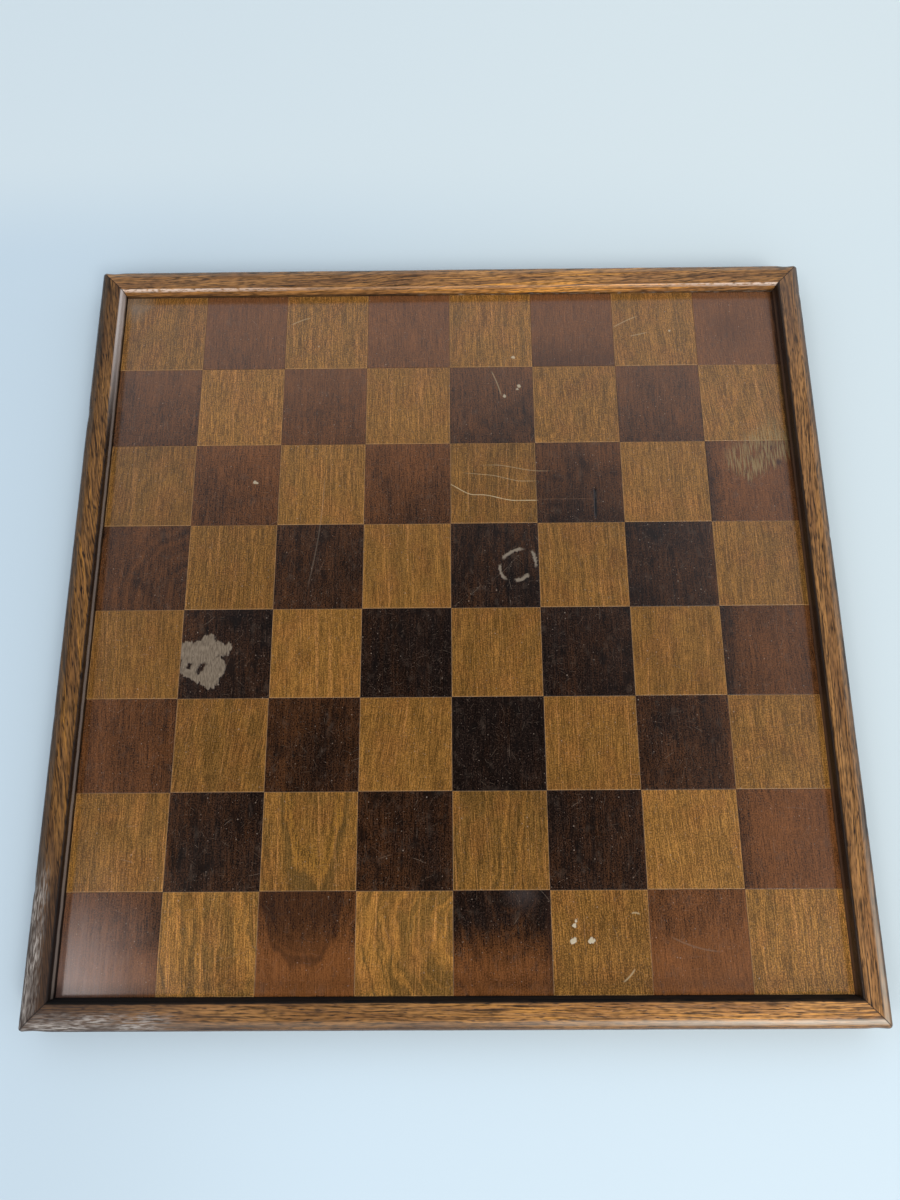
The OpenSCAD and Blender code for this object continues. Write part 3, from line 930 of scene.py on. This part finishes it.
def oak(name, along_x, shade, fall, gold, lines, lean, rubbed, gloss, inner, seed):
    """The worn oak of one rail. Shade is how light it is in all. Fall is how painted shade darkens it
    outward:
    from where, to where and how much. Gold is how golden it is, and from where to where along it. Lines is
    how dark its lines are, and lean how they lean. Painted light is how much painted light and painted
    highlight its two ends get. Gloss is its specular level, inner the look of its inner face, and seed its
    own part of the noise."""
    wood = Finish(name)
    along, across = (wood.x, wood.y) if along_x else (wood.y, wood.x)
    out = wood.size(across) - HALF_OPENING_MM
    above = wood.z - FIELD_TOP
    colour, pores, dark = oak_grain(wood, along, across, gold, lines, lean, seed)
    # Painted light on the rail's two ends
    first_end = along.between(-100, -HALF_OPENING_MM)
    last_end = along.between(0, HALF_OPENING_MM - 20)
    lit_ends = first_end * rubbed[0] + last_end * rubbed[1]
    colour = wood.scaled(colour, 1 + lit_ends * 0.6)
    dirt = wood.noise(along / 12, across / 5, wood.z / 5 + seed, detail=4.0)
    colour = wood.mix(dirt.between(0.56, 0.76) * 0.4, colour, OAK_DIRT)
    # Dirt and painted shade on the outer round, below the top
    outer = (RAIL_HIGH.z / MM - wood.z).between(1.0, 3.6) * out.between(7, 9)
    colour = wood.mix(outer * 0.75, colour, OUTER_DIRT_AND_SHADE)
    # Painted shade, darker outward over the outer round
    colour = wood.scaled(colour, 1 - out.between(*fall[:2]) * fall[2])
    # Painted highlight along the outer round, strongest at the lit ends
    highlight_band = out.between(8.8, 10.4) * out.between(13.0, 11.4) * above.between(2.4, 4.4)
    colour = wood.mix(highlight_band * (0.1 + lit_ends * 0.75) * (0.4 + dirt), colour, OAK_PAINTED_HIGHLIGHT)
    colour, roughness = inner(wood, wood.scaled(colour, shade), along, out, above)
    mitre = wood.size(HALF_OPENING_MM + out - wood.size(along)).between(0.5, 0.12)
    colour = wood.mix(mitre * 0.8, colour, MITRE_BLACK)
    height = pores * 0.015 - dark * 0.05 + dirt * 0.03
    return wood.done(colour, roughness + dirt * 0.2 + dark * 0.1, height, Specular_IOR_Level=gloss)


# The soiled corner with its painted sheen, and the inner faces from near to left, with painted shade and
# highlights
CORNER_DIRT = srgb(48, 35, 29)
GREY_PAINTED_SHEEN = srgb(166, 156, 145)
NEAR_DIRT_AND_SHADE = srgb(8, 6, 5)
RIGHT_PAINTED_SHEEN = srgb(104, 88, 78)
RIGHT_DIRT_AND_SHADE = srgb(22, 16, 13)
RIGHT_FOOT = srgb(98, 72, 54)
FAR_FOOT = srgb(34, 25, 20)
FAR_CRUST = srgb(150, 140, 126)
FAR_PAINTED_HIGHLIGHT = srgb(232, 206, 184)
LEFT_DIRT_AND_SHADE = srgb(20, 14, 12)
LEFT_PAINTED_HIGHLIGHT = srgb(133, 119, 108)
LEFT_MILKY_HIGHLIGHT = srgb(192, 180, 171)


def soiled_corner(wood, colour, along, out):
    """Dark matt dirt where the near left corner is held, with a painted grey sheen on the outer round."""
    end = along.between(100 - HALF_OPENING_MM, 5 - HALF_OPENING_MM)
    colour = wood.mix(end * 0.8, colour, CORNER_DIRT)
    patch = wood.noise(along / 16, out / 5, detail=2.0).between(0.3, 0.7) * 0.7 + 0.3
    streak = wood.noise(along / 6, out / 0.7, detail=3.0).between(0.38, 0.66) + 0.12
    # Painted sheen on the outer round near the corner
    band = out.between(3.5, 9.0) * out.between(14.8, 12.8) * end.between(0.1, 0.7) * patch * streak
    return wood.mix(band * 0.95, colour, GREY_PAINTED_SHEEN), (end * 0.3) * (1 - band) + 0.18


def near_inside(wood, colour, along, out, above):
    """Black from its edge down: dirt and painted shade."""
    colour, roughness = soiled_corner(wood, colour, along, out)
    # Dirt and painted shade on the inner face
    edge = out.between(2.1, 1.0)
    return wood.mix(edge * 0.97, colour, NEAR_DIRT_AND_SHADE), roughness + edge * 0.7


def right_inside(wood, colour, along, out, above):
    """Dirt and painted shade under the edge, less so at the foot, and a painted grey sheen at the far end."""
    # Painted sheen at the far end
    colour = wood.mix(along.between(120, 205) * 0.35, colour, RIGHT_PAINTED_SHEEN)
    # Dirt and painted shade under the edge, lighter at the foot
    colour = wood.mix(out.between(1.7, 0.9) * 0.92, colour, RIGHT_DIRT_AND_SHADE)
    foot = above.between(3.4, 1.6) * out.between(1.0, 0.3)
    return wood.mix(foot * 0.85, colour, RIGHT_FOOT), 0.2


def far_inside(wood, colour, along, out, above):
    """Golden like the top and made brighter with painted light, with a dark line at the foot and a painted
    highlight along the edge that comes and goes.
    """
    face = out.between(1.0, 0.3)
    # Painted light on the face
    colour = wood.mix(face, colour, wood.scaled(colour, 1.5))
    colour = wood.mix(face * above.between(2.6, 1.2) * 0.8, colour, FAR_FOOT)
    crust = wood.noise(along / 5, wood.z, detail=3.0).between(0.56, 0.66) * along.between(-60, 20)
    colour = wood.mix(face * above.between(2.2, 1.0) * crust * 0.5, colour, FAR_CRUST)
    # Painted highlight along the edge
    broken = wood.noise(along / 3.5, wood.z, detail=3.0).between(0.3, 0.55)
    bright = wood.size(along - 10).between(70, 190) * broken
    edge = out.between(1.2, 0.4) * above.between(5.4, 6.6)
    return wood.mix(edge * (0.1 + bright * 0.8), colour, FAR_PAINTED_HIGHLIGHT), 0.16


def left_inside(wood, colour, along, out, above):
    """A painted grey highlight halfway up a face darkened with dirt and painted shade, which turns to a
    milky white painted highlight towards the far corner.
    """
    colour, roughness = soiled_corner(wood, colour, along, out)
    face = out.between(1.3, 0.5)
    # Dirt and painted shade on the face
    colour = wood.mix(face * 0.88, colour, LEFT_DIRT_AND_SHADE)
    wavy = above + wood.noise(along / 12, along / 50) * 1.2
    halfway = wavy.between(2.0, 3.2) * wavy.between(6.0, 4.8)
    # Painted highlight halfway up the face
    colour = wood.mix(face * halfway * 0.85, colour, LEFT_PAINTED_HIGHLIGHT)
    # Milky white painted highlight towards the far corner
    milky = along.between(100, 190) * wavy.between(3.0, 4.6) * out.between(2.0, 1.0)
    return wood.mix(milky * 0.85, colour, LEFT_MILKY_HIGHLIGHT), roughness


# The look of each rail, in the order of their quarter turns from the near one
RAILS = {
    "near_rail": dict(shade=1.02, fall=(9.5, 12.0, 0.4), gold=(0.5, 0, 300), lines=0.85, lean=0.01,
                      rubbed=(0.05, 0.8), gloss=0.26, inner=near_inside),
    "right_rail": dict(shade=0.98, fall=(9.5, 13.0, 0.62), gold=(0.15, -300, 160), lines=0.9, lean=-0.03,
                       rubbed=(0.6, 0.0), gloss=0.22, inner=right_inside),
    "far_rail": dict(shade=0.98, fall=(10.0, 13.0, 0.1), gold=(1.0, -10, 140), lines=0.8, lean=-0.05,
                     rubbed=(0.05, 0.1), gloss=0.27, inner=far_inside),
    "left_rail": dict(shade=0.53, fall=(6.5, 11.0, 0.6), gold=(0.8, -110, 130), lines=1.0, lean=0.17,
                      rubbed=(0.0, 0.0), gloss=0.16, inner=left_inside),
}
# The bruises of each rail: place along, place across, length, width and depth in millimetres
BRUISES = {
    "near_rail": [(-70, 1, 1.0, 2.0, 0.3), (-211, 14, 6, 5, 0.5), (210, 14, 4, 4, 0.4)],
    "right_rail": [(198, 13, 3, 3, 0.3), (40, 14, 2, 2, 0.3), (-120, 13, 2, 2, 0.3)],
    "far_rail": [(175, 5, 0.7, 9, 0.25), (-210, 14, 4, 4, 0.4), (210, 14, 4, 4, 0.4)],
    "left_rail": [(-120, 14, 5, 3, 0.4), (60, 13, 2, 2, 0.3), (150, 14, 3, 3, 0.4)],
}
for quarter, (name, look) in enumerate(RAILS.items()):
    mesh = rail_shell("worn_" + name, quarter, BRUISES[name])
    mesh.materials.append(oak("oak_" + name, quarter % 2 == 0, seed=quarter + 1.0, **look))
    rail = in_scene(mesh)
    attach(rail, "root")
    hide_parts(name)


# The pins and their stopping: steel pins driven through the rails into the ground and across
# the mitres, their heads punched in and covered with hard brown wax.

DULL_STEEL = srgb(120, 120, 122)
PIN_RUST = srgb(92, 58, 40)
BROWN_WAX = srgb(52, 32, 20)
DUSTY_WAX = srgb(84, 58, 40)


def drawn_steel():
    """Dull steel wire with patches of rust."""
    steel = Finish("drawn_steel")
    rust = steel.noise(steel.x / 2, steel.y / 2, steel.z / 2, detail=4.0)
    colour = steel.mix(rust.between(0.5, 0.75), DULL_STEEL, PIN_RUST)
    return steel.done(colour, 0.4 + rust * 0.3, rust * 0.02, Metallic=0.9)


def stopping_wax():
    """Hard brown wax, a little darker than the oak round it, scraped level and dusty."""
    wax = Finish("stopping_wax")
    dust = wax.noise(wax.x * 2, wax.y * 2, wax.z * 2, detail=3.0)
    colour = wax.mix(dust, BROWN_WAX, DUSTY_WAX)
    return wax.done(colour, 0.45 + dust * 0.2, dust * 0.05)


give(drawn_steel(), ["rail_pins", "mitre_pins"])
give(stopping_wax(), ["pin_stopping"])


# The table under the board, the light and the camera. The table is a pale blue sheet, the light
# comes from a window, a patch of sky and the room, and the camera stands where the photograph
# was taken, low over the near half of the board.

# Half the table's width, and its level just below the rails' feet
TABLE_HALF = 3.0
TABLE_LEVEL = -0.2 * MM
# The table's blue from left to right, in front and behind, with painted light where more light falls
TABLE_BLUE = srgb(200, 217, 225)
TABLE_LIT_RIGHT = srgb(220, 232, 232)
TABLE_LIT_FRONT = srgb(219, 238, 247)
TABLE_LIT_BEHIND = srgb(224, 234, 232)


def table():
    """A wide sheet of soft pale blue, with painted light: paler to the right, in front and behind."""
    corners = [(-1, -1), (1, -1), (1, 1), (-1, 1)]
    mesh = bpy.data.meshes.new("table")
    mesh.from_pydata([(x * TABLE_HALF, y * TABLE_HALF, TABLE_LEVEL) for x, y in corners], [], [range(4)])
    sheet = Finish("table_sheet")
    # Painted light: paler to the right, in front and behind
    pale = sheet.mix(sheet.x.between(-330, 260), TABLE_BLUE, TABLE_LIT_RIGHT)
    front = sheet.y.between(-200, -250) * sheet.x.between(-220, -40)
    pale = sheet.mix(front * 0.45, pale, TABLE_LIT_FRONT)
    pale = sheet.mix(sheet.y.between(240, 330) * 0.6, pale, TABLE_LIT_BEHIND)
    mesh.materials.append(sheet.done(pale, 0.6, 0.0))
    top = in_scene(mesh)


def lamp(name, place, size, watts, colour):
    """A square soft light that faces the middle of the board's footprint."""
    light = bpy.data.lights.new(name, "AREA")
    light.shape = "SQUARE"
    light.size = size
    light.energy = watts
    light.color = colour
    holder = in_scene(light)
    holder.location = place
    holder.rotation_euler = (-Vector(place)).to_track_quat("-Z", "Y").to_euler()


# Angles from straight up, in degrees: from where to where the dark overhead fades out, and from
# where to where the dim part sets in
DARK_OVERHEAD = (10, 36)
DIM_BELOW = (45, 75)
ROOM_LIGHT = 1.10
BRIGHT_WALLS = srgb(236, 243, 255)
DIM_WALLS = srgb(60, 64, 70)
OVERHEAD_GREY = srgb(20, 20, 20)


def room():
    """A room that is bright all round, dark straight overhead, where the camera blocks it, and dim low
    down beyond the board's far left corner."""
    world = bpy.data.worlds.new("room")
    bpy.context.scene.world = world
    world.use_nodes = True
    nodes = Nodes(world.node_tree)
    rightward, away, upward = nodes.parts(nodes.node("ShaderNodeTexCoord", {}, out="Generated"))
    past_dark = (upward - rightward * 0.06).between(*np.cos(np.radians(DARK_OVERHEAD)).tolist())
    low_down = upward.between(*np.cos(np.radians(DIM_BELOW)).tolist())
    far_left = (away - rightward * 0.4).between(-0.3, 0.6)
    walls = nodes.mix(low_down * far_left * 0.7, BRIGHT_WALLS, DIM_WALLS)
    sky = world.node_tree.nodes["Background"]
    nodes.feed(sky.inputs["Color"], nodes.mix(past_dark, OVERHEAD_GREY, walls))
    sky.inputs["Strength"].default_value = ROOM_LIGHT


table()
lamp("window", place=(2.3, -3.6, 4.2), size=2.0, watts=125, colour=(1.0, 0.98, 0.95))
lamp("left_sky", place=(-1.15, -0.66, 1.9), size=0.4, watts=3.6, colour=(1.0, 0.90, 0.86))
room()

# The camera's place, in pitches of the field from the near left corner between the rails, and
# where its front and its top point
VIEW_PLACE = (4.060, 1.788, 8.955)
VIEW_FORWARD = Vector((-0.0078, 0.2491, -0.9684))
VIEW_UP = Vector((0.0080, 0.9685, 0.2490))
# The lens, in pixels of the photograph, and the photograph's longer side
FOCAL_PIXELS = 823
FRAME_PIXELS = 1200


def camera():
    """The scene's camera, from its place, its lens and the two directions of its aim."""
    data = bpy.data.cameras.new("camera")
    data.lens = FOCAL_PIXELS / FRAME_PIXELS * data.sensor_width
    backward = -VIEW_FORWARD.normalized()
    right = VIEW_UP.cross(backward).normalized()
    aim = Matrix((right, backward.cross(right), backward)).transposed().to_4x4()
    near_left = Vector((-HALF_OPENING, -HALF_OPENING, FIELD_HIGH.z))
    aim.translation = near_left + Vector(VIEW_PLACE) * PITCH
    made = in_scene(data)
    made.matrix_world = aim
    bpy.context.scene.camera = made


camera()
bpy.context.scene.view_settings.view_transform = "Standard"
